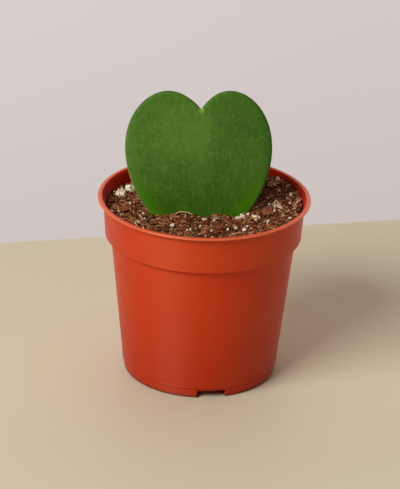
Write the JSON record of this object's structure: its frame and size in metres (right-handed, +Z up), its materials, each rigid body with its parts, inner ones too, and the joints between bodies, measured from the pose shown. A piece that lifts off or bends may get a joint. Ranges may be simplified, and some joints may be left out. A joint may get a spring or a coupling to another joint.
{
  "type": "potted hoya plant",
  "caption": "Heart-shaped succulent leaf standing in potting soil in a round tapered plastic nursery pot with a flanged lip, a deep collar and a notched foot ring.",
  "frame": {"origin": "centre of the pot's foot ring on its standing plane", "axes": "+Z up along the pot's axis, -Y towards the leaf's front face, +X to the right seen from the front"},
  "size_m": [0.1044, 0.1044, 0.1491],
  "materials": {
    "pot": "smooth moulded plastic, satin to semi-gloss",
    "soil": "loose peat and bark crumbs, matt",
    "perlite": "matt, porous, off-white",
    "leaf": "thick waxy leaf with a soft sheen",
    "roots": "matt, cream"
  },
  "bodies": {
    "root": {"pot": "pot", "soil": "soil", "leaf": "leaf", "roots": "roots"}
  },
  "joints": []
}
